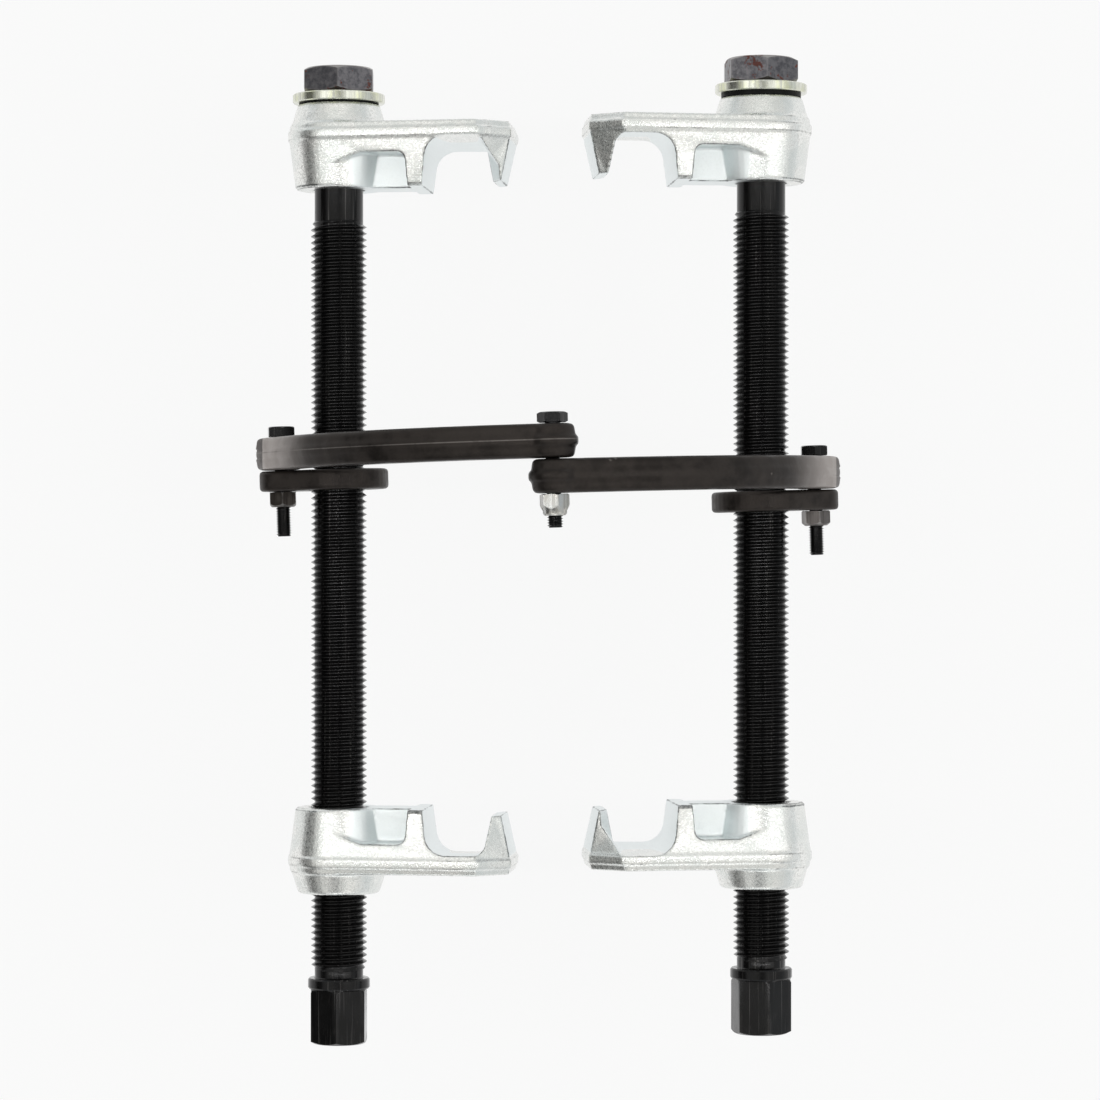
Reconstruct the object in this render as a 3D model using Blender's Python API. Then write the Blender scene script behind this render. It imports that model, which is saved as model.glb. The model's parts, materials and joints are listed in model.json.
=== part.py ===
"""Coil spring compressor: two threaded spindles with forged jaws, tied together by a folding link.

The tool lies on the flat sides of its four jaws, with its link standing up like an arch. X runs across
it, Y along the spindles with the drive hexagons at -Y, and Z points up. Sizes are in metres.
"""

import math

import bmesh
import bpy

# Spindles
SPINDLE_SPACING = 0.1654
SPINDLE_STAGGER = 0.0039
THREAD_DIAMETER = 0.022
THREAD_LENGTH = 0.293
THREAD_END_CHAMFER = 0.0008
NECK_DIAMETER = 0.019
UPPER_NECK_LENGTH = 0.0458
LOWER_NECK_LENGTH = 0.003
COLLAR_DIAMETER = 0.0242
COLLAR_THICKNESS = 0.0042
COLLAR_CHAMFER = 0.0009
DRIVE_HEX_FLATS = 0.021
DRIVE_HEX_LENGTH = 0.0215
DRIVE_HEX_TURN_DEG = {"left": -2.0, "right": 13.0}

# Screws in the upper ends of the spindles, and the thrust washers that they clamp
TOP_BOLT_FLATS = 0.0265
TOP_BOLT_HEAD_HEIGHT = 0.010
TOP_BOLT_THREAD = 0.010
TOP_BOLT_SHANK_LENGTH = 0.024
TOP_BOLT_TURN_DEG = {"left": 0.0, "right": 19.0}
WASHER_DIAMETER = 0.036
WASHER_THICKNESS = 0.0035
WASHER_CHAMFER = 0.0004

# Jaws: forged in two dies that part along a trimmed land. Depths count down from the boss's end face
BOSS_HEIGHT = 0.0336
BOSS_END_RADIUS = 0.0162
BOSS_END_CHAMFER = 0.0008
FLANGE_DEPTH = 0.0085
LAND_DEPTH = 0.0112
LAND_THICKNESS = 0.0032
LAND_PROUD = 0.0005
LAND_BOSS_RADIUS = 0.0199
BOSS_DRAFT_DEG = 7.5
JAW_DRAFT_DEG = 12.0
JAW_HALF_WIDTH = 0.025
CORNER_REACH = 0.0570
TIP_REACH = 0.0693
TIP_HALF_WIDTH = 0.0145
TOE_CHAMFER = 0.0009
HOOK_TOE_DEPTH = 0.0314
SEAT_DEPTH = 0.0155
SEAT_SLOPE = 0.040
SEAT_INNER_REACH = 0.0370
SEAT_OUTER_REACH = 0.0583
SEAT_INNER_LEAN = 0.0019
SEAT_OUTER_LEAN = 0.0035
SEAT_INNER_FILLET = 0.0082
SEAT_OUTER_FILLET = 0.0050
SEAT_FILLET_SHARE = 0.45
SEAT_FLARE = 0.30
SEAT_STRAIGHT = 0.012
POCKET_DEPTH = 0.0204
POCKET_RAMP_REACH = 0.0112
POCKET_RAMP_DROP = 0.0040
POCKET_OUTER_REACH = 0.0282
POCKET_LEAN = 0.0010
POCKET_FILLET = 0.0032
WEB_THICKNESS = 0.017
UPPER_JAW_FLOAT = {"left": 0.0004, "right": 0.0016}
LOWER_JAW_FACE = {"left": -0.1338, "right": -0.1318}

# Link: two curved arms, folded on a pivot bolt, and a ring on each spindle
ARM_CHORD = 0.1332
ARM_RADIUS = 0.1082
ARM_WIDTH = 0.0125
ARM_THICKNESS = 0.0128
ARM_EYE_RADIUS = 0.0096
ARM_LAND_THICKNESS = 0.0034
ARM_LAND_PROUD = 0.0005
ARM_EYE_LAND_PROUD = 0.0011
ARM_EYE_BLEND = 0.45
ARM_EDGE = 0.0016
ARM_DRAFT_DEG = 5.0
ARCH_MIDDLE = 0.0343
ARCH_TILT_DEG = 1.6
RING_RADIUS = 0.0194
RING_THICKNESS = 0.008
RING_EDGE = 0.0012
LUG_PITCH = 0.0221
LUG_RADIUS = 0.0090
RING_TURN_DEG = {"left": 0.0, "right": 12.0}
LINK_BOLT_THREAD = 0.006
LINK_BOLT_HOLE = 0.007
LINK_BOLT_LENGTH = 0.039
LINK_BOLT_FLATS = 0.010
LINK_BOLT_HEAD_HEIGHT = 0.004
LINK_BOLT_END_CHAMFER = 0.0006
LUG_NUT_HEIGHT = 0.0058
LOCK_NUT_HEIGHT = 0.008
LOCK_NUT_COLLAR_HEIGHT = 0.0026
LOCK_NUT_COLLAR_RADIUS = 0.0044
LOCK_NUT_LIP_RADIUS = 0.0037
INSERT_THICKNESS = 0.0018
PIVOT_BOLT_TURN_DEG = 30.0
PIVOT_NUT_TURN_DEG = 17.0
LUG_BOLT_TURN_DEG = {"left": 8.0, "right": 0.0}
LUG_NUT_TURN_DEG = {"left": 3.0, "right": -6.0}

# Fits
SEAT_GAP = 0.0003
JAW_CLEARANCE = 0.0003
RING_CLEARANCE = 0.0007
SCREW_CLEARANCE = 0.0002

# Facets
ROUND_STEPS = 48
SMALL_STEPS = 24
BOSS_STEPS = 28
FILLET_STEPS = 5
ARM_STEPS = 18
EYE_STEPS = 14
HEX_CHAMFER_DEG = 28.0
HEX_CHAMFER_SHARE = 0.96
CUT_MARGIN = 0.012
SMOOTH_DEG = 32.0

SIDES = {"left": -1, "right": 1}

# The spindle axes lie as high as the boss's land reaches, because the land rests on the floor
AXIS_HEIGHT = LAND_BOSS_RADIUS
SPINDLE_LENGTH = (
    DRIVE_HEX_LENGTH + COLLAR_THICKNESS + LOWER_NECK_LENGTH + THREAD_LENGTH + UPPER_NECK_LENGTH
)
STACK_LENGTH = SPINDLE_LENGTH + WASHER_THICKNESS + TOP_BOLT_HEAD_HEIGHT + 2 * SEAT_GAP
UPPER_BORE = NECK_DIAMETER + 2 * JAW_CLEARANCE
LOWER_BORE = THREAD_DIAMETER + 2 * JAW_CLEARANCE
RING_BORE = THREAD_DIAMETER + 2 * RING_CLEARANCE

FINISHES = {
    "zinc_plate": ((0.72, 0.74, 0.74), 0.38, 1.0),
    "washer_zinc": ((0.70, 0.69, 0.60), 0.30, 1.0),
    "black_oxide": ((0.020, 0.019, 0.020), 0.34, 0.9),
    "forged_black": ((0.045, 0.040, 0.038), 0.48, 0.8),
    "bolt_steel": ((0.13, 0.125, 0.125), 0.45, 0.9),
    "nut_steel": ((0.24, 0.23, 0.22), 0.42, 0.9),
    "lock_nut_zinc": ((0.75, 0.76, 0.76), 0.25, 1.0),
    "nylon": ((0.80, 0.82, 0.84), 0.5, 0.0),
}


def clear_scene():
    for old in list(bpy.data.objects):
        bpy.data.objects.remove(old, do_unlink=True)


def finish_material(slot):
    """The Principled material of a finish, made when it is first asked for."""
    found = bpy.data.materials.get(slot)
    if found:
        return found
    colour, roughness, metallic = FINISHES[slot]
    material = bpy.data.materials.new(slot)
    material.use_nodes = True
    shader = material.node_tree.nodes["Principled BSDF"]
    shader.inputs["Base Color"].default_value = (*colour, 1.0)
    shader.inputs["Roughness"].default_value = roughness
    shader.inputs["Metallic"].default_value = metallic
    return material


def mesh_from(shape, name):
    """A smooth-shaded mesh with its creases kept, from a bmesh that is used up."""
    bmesh.ops.recalc_face_normals(shape, faces=shape.faces)
    mesh = bpy.data.meshes.new(name)
    shape.to_mesh(mesh)
    shape.free()
    mesh.shade_smooth()
    mesh.set_sharp_from_angle(angle=math.radians(SMOOTH_DEG))
    return mesh


def place(name, mesh, slot, parent, location=(0, 0, 0), turn=(0, 0, 0)):
    """A named sub-part on its parent's axis."""
    piece = bpy.data.objects.new(name, mesh)
    if not mesh.materials:
        mesh.materials.append(finish_material(slot))
    piece.parent = parent
    piece.location = location
    piece.rotation_euler = turn
    bpy.context.collection.objects.link(piece)
    return piece


def axis_empty(name, x, z):
    """An empty on one of the tool's lengthwise axes."""
    empty = bpy.data.objects.new(name, None)
    empty.location = (x, 0, z)
    empty.empty_display_size = THREAD_DIAMETER
    bpy.context.collection.objects.link(empty)
    return empty


def helper(name, shape):
    """A cutter or a core: seen as wires and left out of renders."""
    piece = bpy.data.objects.new(name, mesh_from(shape, name))
    piece.hide_render = True
    piece.display_type = "WIRE"
    bpy.context.collection.objects.link(piece)
    return piece


def combine(piece, other, operation):
    boolean = piece.modifiers.new(f"{operation.lower()}_{other.name}", "BOOLEAN")
    boolean.operation = operation
    boolean.solver = "EXACT"
    boolean.object = other


def baked(piece, helpers):
    """The mesh that a helper's modifiers give, with the helpers cleared away."""
    graph = bpy.context.evaluated_depsgraph_get()
    mesh = bpy.data.meshes.new_from_object(piece.evaluated_get(graph))
    for used in [piece, *helpers]:
        bpy.data.objects.remove(used, do_unlink=True)
    return mesh


# Turned and hexagonal forms, round the local Y axis. Angle 0 points up


def at(value, angle):
    return value(angle) if callable(value) else value


def turned(rings, steps=ROUND_STEPS, through=False):
    """Rings of (radius, height), each a number or a function of the angle, from one end to the other.

    A piece with a hole right through joins its last ring to its first.
    """
    shape = bmesh.new()
    loops = []
    for radius, height in rings:
        loop = []
        for step in range(steps):
            angle = 2 * math.pi * step / steps
            reach = at(radius, angle)
            along = at(height, angle)
            loop.append(shape.verts.new((reach * math.sin(angle), along, reach * math.cos(angle))))
        loops.append(loop)
    pairs = list(zip(loops, loops[1:]))
    if through:
        pairs.append((loops[-1], loops[0]))
    for first, second in pairs:
        for step in range(steps):
            after = (step + 1) % steps
            shape.faces.new((first[step], first[after], second[after], second[step]))
    if not through:
        shape.faces.new(loops[0])
        shape.faces.new(loops[-1])
    return shape


def hexagon(flats):
    """The radius of a hexagon at each angle, with a corner at angle 0."""

    def radius(angle):
        off_middle = angle % (math.pi / 3) - math.pi / 6
        return flats / 2 / math.cos(off_middle)

    return radius


def hexagon_end(flats, end, way):
    """The two rings that end a hexagon at a height, with the turned chamfer that rounds its corners."""
    rim = HEX_CHAMFER_SHARE * flats / 2
    slope = math.tan(math.radians(HEX_CHAMFER_DEG))
    radius = hexagon(flats)

    def height(angle):
        return end - way * (radius(angle) - rim) * slope

    return [(radius, height), (rim, end)] if way > 0 else [(rim, end), (radius, height)]


def cylinder_shape(radius, low, high, steps=ROUND_STEPS):
    return turned([(radius, low), (radius, high)], steps)


# Lofted forms: outlines in the X-Z plane, stacked along Y


def lofted(levels):
    """Levels of (height, outline), each outline with the same number of (x, z) points."""
    shape = bmesh.new()
    loops = [[shape.verts.new((x, height, z)) for x, z in outline] for height, outline in levels]
    count = len(loops[0])
    for first, second in zip(loops, loops[1:]):
        for step in range(count):
            after = (step + 1) % count
            shape.faces.new((first[step], first[after], second[after], second[step]))
    shape.faces.new(loops[0])
    shape.faces.new(loops[-1])
    return shape


def arc(centre, radius, start, end, steps):
    """Points on an arc in a plane, both ends included."""
    return [
        (
            centre[0] + radius * math.cos(start + (end - start) * step / steps),
            centre[1] + radius * math.sin(start + (end - start) * step / steps),
        )
        for step in range(steps + 1)
    ]


def filleted(before, corner, after, radius):
    """The arc that rounds a corner between two straight lines."""
    to_before = math.atan2(before[1] - corner[1], before[0] - corner[0])
    to_after = math.atan2(after[1] - corner[1], after[0] - corner[0])
    opening = (to_after - to_before + math.pi) % (2 * math.pi) - math.pi
    middle = to_before + opening / 2
    away = radius / math.sin(abs(opening) / 2)
    centre = (corner[0] + away * math.cos(middle), corner[1] + away * math.sin(middle))
    sweep = math.copysign(math.pi - abs(opening), -opening)
    start = to_before + math.copysign(math.pi / 2, -opening)
    return arc(centre, radius, start, start + sweep, FILLET_STEPS)


def across_prism(sections, slope=0):
    """Profiles of (x, y) points at widths along Z, joined in order, square or at a slope."""
    shape = bmesh.new()
    loops = []
    for z, profile in sections:
        loops.append([shape.verts.new((x, y + slope * z, z)) for x, y in profile])
    count = len(loops[0])
    for first, second in zip(loops, loops[1:]):
        for step in range(count):
            after = (step + 1) % count
            shape.faces.new((first[step], first[after], second[after], second[step]))
    shape.faces.new(loops[0])
    shape.faces.new(loops[-1])
    return shape


# Spindle group


def make_spindle(side, axis, low):
    """One turned bar: drive hexagon, collar, neck, thread, and a long neck drilled for the top screw."""
    hex_top = low + DRIVE_HEX_LENGTH
    collar_top = hex_top + COLLAR_THICKNESS
    thread_low = collar_top + LOWER_NECK_LENGTH
    thread_high = thread_low + THREAD_LENGTH
    top = thread_high + UPPER_NECK_LENGTH
    neck = NECK_DIAMETER / 2
    crest = THREAD_DIAMETER / 2
    collar = COLLAR_DIAMETER / 2
    hole = TOP_BOLT_THREAD / 2 + SCREW_CLEARANCE
    hole_floor = top - TOP_BOLT_SHANK_LENGTH - 2 * SCREW_CLEARANCE
    rings = hexagon_end(DRIVE_HEX_FLATS, low, -1)
    rings += [
        (hexagon(DRIVE_HEX_FLATS), hex_top - COLLAR_CHAMFER),
        (collar, hex_top + COLLAR_CHAMFER),
        (collar, collar_top - COLLAR_CHAMFER / 2),
        (collar - COLLAR_CHAMFER / 2, collar_top),
        (neck, collar_top),
        (neck, thread_low),
        (crest, thread_low + THREAD_END_CHAMFER),
        (crest, thread_high - THREAD_END_CHAMFER),
        (neck, thread_high),
        (neck, top),
        (hole, top),
        (hole, hole_floor),
    ]
    turn = math.radians(DRIVE_HEX_TURN_DEG[side])
    mesh = mesh_from(turned(rings), f"{side}_spindle")
    place(f"{side}_spindle", mesh, "black_oxide", axis, turn=(0, turn, 0))
    return top


def make_washer(side, axis, low):
    """Thrust washer between the jaw's boss and the screw's head."""
    outer = WASHER_DIAMETER / 2
    inner = TOP_BOLT_THREAD / 2 + JAW_CLEARANCE
    high = low + WASHER_THICKNESS
    rings = [
        (inner, low),
        (outer - WASHER_CHAMFER, low),
        (outer, low + WASHER_CHAMFER),
        (outer, high - WASHER_CHAMFER),
        (outer - WASHER_CHAMFER, high),
        (inner, high),
    ]
    mesh = mesh_from(turned(rings, through=True), f"{side}_washer")
    place(f"{side}_washer", mesh, "washer_zinc", axis)
    return high


def make_top_bolt(side, axis, seat):
    """Hexagon screw in the spindle's end, its head on the washer."""
    shank = TOP_BOLT_THREAD / 2
    shank_end = seat - WASHER_THICKNESS - 2 * SEAT_GAP - TOP_BOLT_SHANK_LENGTH
    rings = [(shank, shank_end), (shank, seat), (hexagon(TOP_BOLT_FLATS), seat)]
    rings += hexagon_end(TOP_BOLT_FLATS, seat + TOP_BOLT_HEAD_HEIGHT, 1)
    turn = math.radians(TOP_BOLT_TURN_DEG[side])
    mesh = mesh_from(turned(rings), f"{side}_top_bolt")
    place(f"{side}_top_bolt", mesh, "bolt_steel", axis, turn=(0, turn, 0))


# Jaws, drawn with the spindle's axis along Y, the boss's end face at 0, the hook at +X and its toes down


def flare_angle(boss_radius, half_width, corner_reach):
    """The angle of the jaw's side, which runs off the boss as a tangent to the corner."""
    distance = math.hypot(corner_reach, half_width)
    return math.atan2(half_width, corner_reach) - math.asin(boss_radius / distance)


def jaw_outline(boss_inset, jaw_inset):
    """The jaw in plan: round the boss, along one side, over the cut corners at the tip, and back."""
    boss = LAND_BOSS_RADIUS - boss_inset
    width = JAW_HALF_WIDTH - jaw_inset
    corner = CORNER_REACH - jaw_inset
    tip = TIP_REACH - jaw_inset
    tip_width = TIP_HALF_WIDTH - jaw_inset / 2
    start = math.pi / 2 + flare_angle(boss, width, corner)
    outline = arc((0, 0), boss, start, 2 * math.pi - start, BOSS_STEPS)
    return outline + [(corner, -width), (tip, -tip_width), (tip, tip_width), (corner, width)]


def jaw_body():
    """The forging without its pockets: lands, drafted sides above and below, and chamfered toes."""
    land_end = LAND_DEPTH + LAND_THICKNESS
    toe = BOSS_HEIGHT - TOE_CHAMFER
    boss_draft = math.tan(math.radians(BOSS_DRAFT_DEG))
    jaw_draft = math.tan(math.radians(JAW_DRAFT_DEG))

    def level(depth, away, step):
        return (-depth, jaw_outline(away * boss_draft + step, away * jaw_draft + step))

    return lofted(
        [
            level(FLANGE_DEPTH, LAND_DEPTH - FLANGE_DEPTH, LAND_PROUD),
            level(LAND_DEPTH, 0, LAND_PROUD),
            level(LAND_DEPTH, 0, 0),
            level(land_end, 0, 0),
            level(land_end, 0, LAND_PROUD),
            level(toe, toe - land_end, LAND_PROUD),
            level(BOSS_HEIGHT, toe - land_end, LAND_PROUD + TOE_CHAMFER),
        ]
    )


def boss_radius_at(depth):
    """The radius of the boss below its land, a little inside the forging's own skin."""
    below = depth - LAND_DEPTH - LAND_THICKNESS
    return LAND_BOSS_RADIUS - LAND_PROUD - below * math.tan(math.radians(BOSS_DRAFT_DEG))


def seat_profile(flare=0):
    """The coil's seat: a saddle open towards the toes, rounded at both corners of its ceiling."""
    fillet_limit = SEAT_FILLET_SHARE * (SEAT_OUTER_REACH - SEAT_INNER_REACH)
    ceiling = -SEAT_DEPTH
    deep = -(BOSS_HEIGHT + CUT_MARGIN)
    run = (ceiling - deep) / (BOSS_HEIGHT - SEAT_DEPTH)
    inner_toe = (SEAT_INNER_REACH - SEAT_INNER_LEAN * run, deep)
    inner_top = (SEAT_INNER_REACH, ceiling)
    outer_top = (SEAT_OUTER_REACH, ceiling)
    outer_toe = (SEAT_OUTER_REACH + (SEAT_OUTER_LEAN + flare) * run, deep)
    return [
        inner_toe,
        *filleted(inner_toe, inner_top, outer_top, min(SEAT_INNER_FILLET, fillet_limit)),
        *filleted(inner_top, outer_top, outer_toe, min(SEAT_OUTER_FILLET, fillet_limit)),
        outer_toe,
    ]


def pocket_profile():
    """The pocket between boss and inner leg: a ramp off the boss, a flat ceiling and a rounded corner."""
    ceiling = -POCKET_DEPTH
    deep = -(BOSS_HEIGHT + CUT_MARGIN)
    ramp_foot = (0, ceiling - POCKET_RAMP_DROP)
    corner = (POCKET_OUTER_REACH, ceiling)
    outer_toe = (POCKET_OUTER_REACH + 2 * POCKET_LEAN, deep)
    ramp_top = (POCKET_RAMP_REACH, ceiling)
    return [(0, deep), ramp_foot, ramp_top, *filleted(ramp_top, corner, outer_toe, POCKET_FILLET), outer_toe]


def jaw_mesh(bore):
    """The finished forging, bored for its spindle."""
    reach = JAW_HALF_WIDTH + CUT_MARGIN
    flared = seat_profile(SEAT_FLARE * (reach - SEAT_STRAIGHT / 2))
    straight = seat_profile()
    jaw = helper("jaw_body", jaw_body())
    cone_taper = (LAND_DEPTH - FLANGE_DEPTH) * math.tan(math.radians(BOSS_DRAFT_DEG))
    cone_root = LAND_BOSS_RADIUS - LAND_PROUD - cone_taper
    cone = turned(
        [
            (BOSS_END_RADIUS - BOSS_END_CHAMFER, 0),
            (BOSS_END_RADIUS, -BOSS_END_CHAMFER),
            (cone_root - LAND_PROUD, -FLANGE_DEPTH),
            (cone_root - LAND_PROUD, -LAND_DEPTH),
        ]
    )
    boss_cone = helper("boss_cone", cone)
    combine(jaw, boss_cone, "UNION")
    level = SEAT_STRAIGHT / 2
    sections = [(-reach, flared), (-level, straight), (level, straight), (reach, flared)]
    seat = helper("seat_cutter", across_prism(sections, SEAT_SLOPE))
    combine(jaw, seat, "DIFFERENCE")
    hook_toe = [
        (SEAT_INNER_REACH, -HOOK_TOE_DEPTH),
        (TIP_REACH + CUT_MARGIN, -HOOK_TOE_DEPTH),
        (TIP_REACH + CUT_MARGIN, -BOSS_HEIGHT - CUT_MARGIN),
        (SEAT_INNER_REACH, -BOSS_HEIGHT - CUT_MARGIN),
    ]
    toe_cutter = helper("hook_toe_cutter", across_prism([(-reach, hook_toe), (reach, hook_toe)]))
    combine(jaw, toe_cutter, "DIFFERENCE")
    core_start = LAND_DEPTH + LAND_THICKNESS
    core_end = BOSS_HEIGHT + 2 * CUT_MARGIN
    core = turned([(boss_radius_at(core_start), -core_start), (boss_radius_at(core_end), -core_end)])
    boss_core = helper("boss_core", core)
    helpers = [boss_cone, seat, toe_cutter, boss_core]
    for side, way in SIDES.items():
        low, high = sorted((way * WEB_THICKNESS / 2, way * reach))
        pocket_sections = [(low, pocket_profile()), (high, pocket_profile())]
        pocket = helper(f"{side}_pocket_cutter", across_prism(pocket_sections))
        combine(pocket, boss_core, "DIFFERENCE")
        combine(jaw, pocket, "DIFFERENCE")
        helpers.append(pocket)
    bore_cutter = helper("bore_cutter", cylinder_shape(bore / 2, -BOSS_HEIGHT - CUT_MARGIN, CUT_MARGIN))
    combine(jaw, bore_cutter, "DIFFERENCE")
    return baked(jaw, [*helpers, bore_cutter])


def make_jaws(axes, upper_faces):
    """Four jaws of one forging, each turned on its spindle until its side lies flat on the floor."""
    rest = flare_angle(LAND_BOSS_RADIUS, JAW_HALF_WIDTH, CORNER_REACH)
    upper, lower = jaw_mesh(UPPER_BORE), jaw_mesh(LOWER_BORE)
    for side, way in SIDES.items():
        swing = -rest if way < 0 else math.pi + rest
        face = (0, upper_faces[side], 0)
        place(f"{side}_upper_jaw", upper, "zinc_plate", axes[side], face, (0, swing, 0))
        face = (0, LOWER_JAW_FACE[side], 0)
        place(f"{side}_lower_jaw", lower, "zinc_plate", axes[side], face, (math.pi, swing, 0))


# Link


def arm_outline(inset, eye_inset):
    """An arm in plan, pivot eye at the origin and lug eye at -X: a curved bar that ends in round eyes.

    The bar's outer side widens into the lug eye, and meets the pivot eye at a corner.
    """
    eye = ARM_EYE_RADIUS - eye_inset
    inner = ARM_RADIUS - ARM_WIDTH / 2 + inset
    outer = ARM_RADIUS + ARM_WIDTH / 2 - inset
    centre = (-ARM_CHORD / 2, -math.sqrt(ARM_RADIUS**2 - (ARM_CHORD / 2) ** 2))
    pivot_at = math.atan2(-centre[1], -centre[0])
    lug_at = math.pi - pivot_at

    def meeting(radius):
        """The angle at the bar's centre between an eye and where its circle meets the bar's side."""
        return math.acos((ARM_RADIUS**2 + radius**2 - eye**2) / (2 * ARM_RADIUS * radius))

    def on_bar(radius, angle):
        return centre[0] + radius * math.cos(angle), centre[1] + radius * math.sin(angle)

    def round_eye(middle, first, last):
        start = math.atan2(first[1] - middle[1], first[0] - middle[0])
        end = math.atan2(last[1] - middle[1], last[0] - middle[0])
        return arc(middle, eye, start, start + (end - start) % (2 * math.pi), EYE_STEPS)

    outer_start = pivot_at + meeting(outer)
    outline = []
    for step in range(1, ARM_STEPS):
        share = step / ARM_STEPS
        widening = max(0.0, (share - 1 + ARM_EYE_BLEND) / ARM_EYE_BLEND) ** 2
        radius = outer + (ARM_RADIUS + eye - outer) * widening
        outline.append(on_bar(radius, outer_start + (lug_at - outer_start) * share))
    lug_tip = on_bar(ARM_RADIUS + eye, lug_at)
    outline += round_eye((-ARM_CHORD, 0), lug_tip, on_bar(inner, lug_at - meeting(inner)))
    outline += arc(centre, inner, lug_at - meeting(inner), pivot_at + meeting(inner), ARM_STEPS)[1:-1]
    outline += round_eye((0, 0), on_bar(inner, pivot_at + meeting(inner)), on_bar(outer, outer_start))
    return outline


def arm_mesh():
    """A forged arm: a proud land at half its thickness, drafted sides, rounded edges, two bolt holes."""
    half = ARM_THICKNESS / 2
    land = ARM_LAND_THICKNESS / 2
    draft = (half - ARM_EDGE - land) * math.tan(math.radians(ARM_DRAFT_DEG))
    steps = [
        (half, draft + ARM_EDGE, True),
        (half - ARM_EDGE * 0.3, draft + ARM_EDGE * 0.3, True),
        (half - ARM_EDGE, draft, True),
        (land, 0, True),
        (land, 0, False),
    ]
    levels = steps + [(-height, inset, below) for height, inset, below in reversed(steps)]
    outlines = []
    for height, inset, below in levels:
        bar_inset = inset + (ARM_LAND_PROUD if below else 0)
        eye_inset = inset + (ARM_EYE_LAND_PROUD if below else 0)
        outlines.append((height, arm_outline(bar_inset, eye_inset)))
    arm = helper("arm_body", lofted(outlines))
    holes = []
    for name, x in (("pivot", 0), ("lug", -ARM_CHORD)):
        shape = cylinder_shape(LINK_BOLT_HOLE / 2, -ARM_THICKNESS, ARM_THICKNESS, SMALL_STEPS)
        bmesh.ops.translate(shape, verts=shape.verts, vec=(x, 0, 0))
        holes.append(helper(f"{name}_hole_cutter", shape))
        combine(arm, holes[-1], "DIFFERENCE")
    return baked(arm, holes)


def ring_outline(inset):
    """A ring in plan, its lug eye at the origin and the spindle's axis at +X."""
    ring = RING_RADIUS - inset
    lug = LUG_RADIUS - inset
    tangent = math.pi / 2 - math.asin((ring - lug) / LUG_PITCH)
    outline = arc((LUG_PITCH, 0), ring, tangent - math.pi, math.pi - tangent, BOSS_STEPS)
    return outline + arc((0, 0), lug, math.pi - tangent, math.pi + tangent, EYE_STEPS)


def ring_mesh():
    """A plate that slides on its spindle, with an eye for the lug bolt."""
    half = RING_THICKNESS / 2
    insets = [(half, RING_EDGE), (half - RING_EDGE * 0.3, RING_EDGE * 0.3), (half - RING_EDGE, 0)]
    levels = insets + [(-height, inset) for height, inset in reversed(insets)]
    ring = helper("ring_body", lofted([(height, ring_outline(inset)) for height, inset in levels]))
    bore = cylinder_shape(RING_BORE / 2, -RING_THICKNESS, RING_THICKNESS)
    bmesh.ops.translate(bore, verts=bore.verts, vec=(LUG_PITCH, 0, 0))
    lug_hole = cylinder_shape(LINK_BOLT_HOLE / 2, -RING_THICKNESS, RING_THICKNESS, SMALL_STEPS)
    cutters = [helper("ring_bore_cutter", bore), helper("lug_hole_cutter", lug_hole)]
    for cutter in cutters:
        combine(ring, cutter, "DIFFERENCE")
    return baked(ring, cutters)


def make_link_bolt(name, axis, seat, turn_deg, slot):
    """A hexagon bolt that hangs from its head."""
    shank = LINK_BOLT_THREAD / 2
    end = seat - LINK_BOLT_LENGTH
    rings = [
        (shank - LINK_BOLT_END_CHAMFER, end),
        (shank, end + LINK_BOLT_END_CHAMFER),
        (shank, seat),
        (hexagon(LINK_BOLT_FLATS), seat),
    ]
    rings += hexagon_end(LINK_BOLT_FLATS, seat + LINK_BOLT_HEAD_HEIGHT, 1)
    mesh = mesh_from(turned(rings, SMALL_STEPS), name)
    place(name, mesh, slot, axis, turn=(0, math.radians(turn_deg), 0))


def make_lug_nut(side, axis, seat):
    """A plain hexagon nut against the underside of its ring."""
    bore = LINK_BOLT_THREAD / 2 + SCREW_CLEARANCE
    low = seat - LUG_NUT_HEIGHT
    rings = [(bore, low)] + hexagon_end(LINK_BOLT_FLATS, low, -1)
    rings += hexagon_end(LINK_BOLT_FLATS, seat, 1) + [(bore, seat)]
    mesh = mesh_from(turned(rings, SMALL_STEPS, through=True), f"{side}_lug_nut")
    turn = math.radians(LUG_NUT_TURN_DEG[side])
    place(f"{side}_lug_nut", mesh, "nut_steel", axis, turn=(0, turn, 0))


def make_lock_nut(axis, seat):
    """The pivot's nut, with a rolled collar that traps a nylon ring."""
    bore = LINK_BOLT_THREAD / 2 + SCREW_CLEARANCE
    low = seat - LOCK_NUT_HEIGHT
    shoulder = low + LOCK_NUT_COLLAR_HEIGHT
    cavity = LOCK_NUT_LIP_RADIUS + SCREW_CLEARANCE
    insert_high = low + SCREW_CLEARANCE + INSERT_THICKNESS
    rings = [
        (bore, insert_high + SCREW_CLEARANCE),
        (cavity, insert_high + SCREW_CLEARANCE),
        (cavity, low),
        (LOCK_NUT_COLLAR_RADIUS - SCREW_CLEARANCE, low),
        (LOCK_NUT_COLLAR_RADIUS, low + 2 * SCREW_CLEARANCE),
    ]
    rings += hexagon_end(LINK_BOLT_FLATS, shoulder, -1)
    rings += hexagon_end(LINK_BOLT_FLATS, seat, 1) + [(bore, seat)]
    mesh = mesh_from(turned(rings, SMALL_STEPS, through=True), "pivot_lock_nut")
    turn = (0, math.radians(PIVOT_NUT_TURN_DEG), 0)
    place("pivot_lock_nut", mesh, "lock_nut_zinc", axis, turn=turn)
    ring = [
        (bore, low + SCREW_CLEARANCE),
        (LOCK_NUT_LIP_RADIUS, low + SCREW_CLEARANCE),
        (LOCK_NUT_LIP_RADIUS, insert_high),
        (bore, insert_high),
    ]
    insert = mesh_from(turned(ring, SMALL_STEPS, through=True), "lock_nut_insert")
    place("lock_nut_insert", insert, "nylon", axis)


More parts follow.
